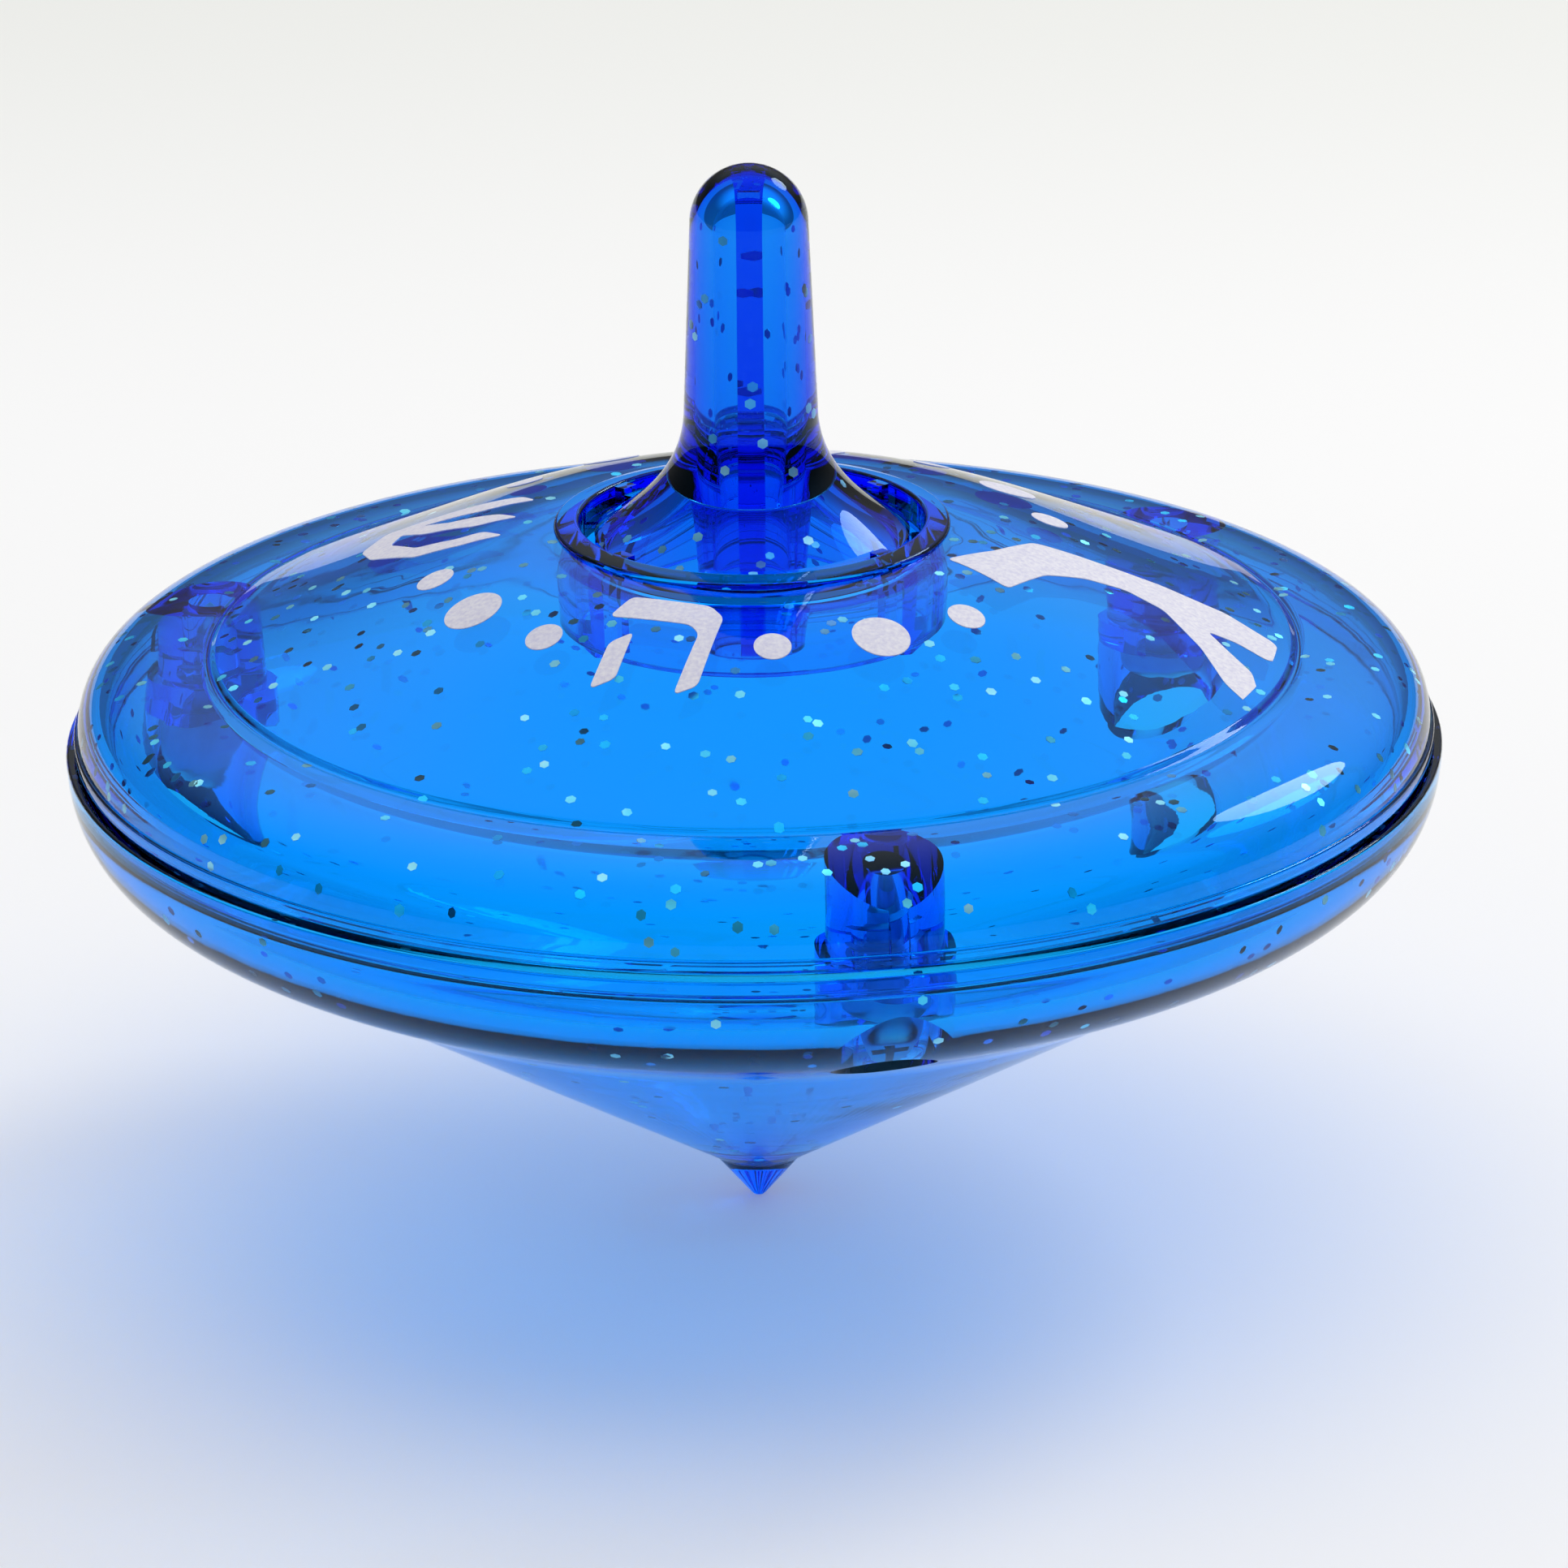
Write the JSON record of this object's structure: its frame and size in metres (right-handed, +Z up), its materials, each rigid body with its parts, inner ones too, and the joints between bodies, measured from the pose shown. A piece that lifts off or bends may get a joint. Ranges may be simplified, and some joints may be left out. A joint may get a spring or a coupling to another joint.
{
  "type": "dreidel",
  "caption": "Saucer-shaped spinning top for the dreidel game: two clear moulded shells screwed together round a hollow, with a pointed tip and a clip-in finger stem.",
  "frame": {"origin": "centre of the small flat land at the end of the tip, where the top stands and spins", "axes": "+Z up along the spin axis through the stem, +X towards one wing of the stem, -Y towards the side with the front screw"},
  "size_m": [0.075, 0.075, 0.0595],
  "materials": {
    "clear_plastic": "clear blue moulded plastic with glitter flakes, polished",
    "steel": "zinc-plated"
  },
  "bodies": {
    "root": {"lower_shell": "clear_plastic", "upper_shell": "clear_plastic", "stem": "clear_plastic", "screw_front": "steel", "screw_right": "steel", "screw_left": "steel"}
  },
  "joints": []
}
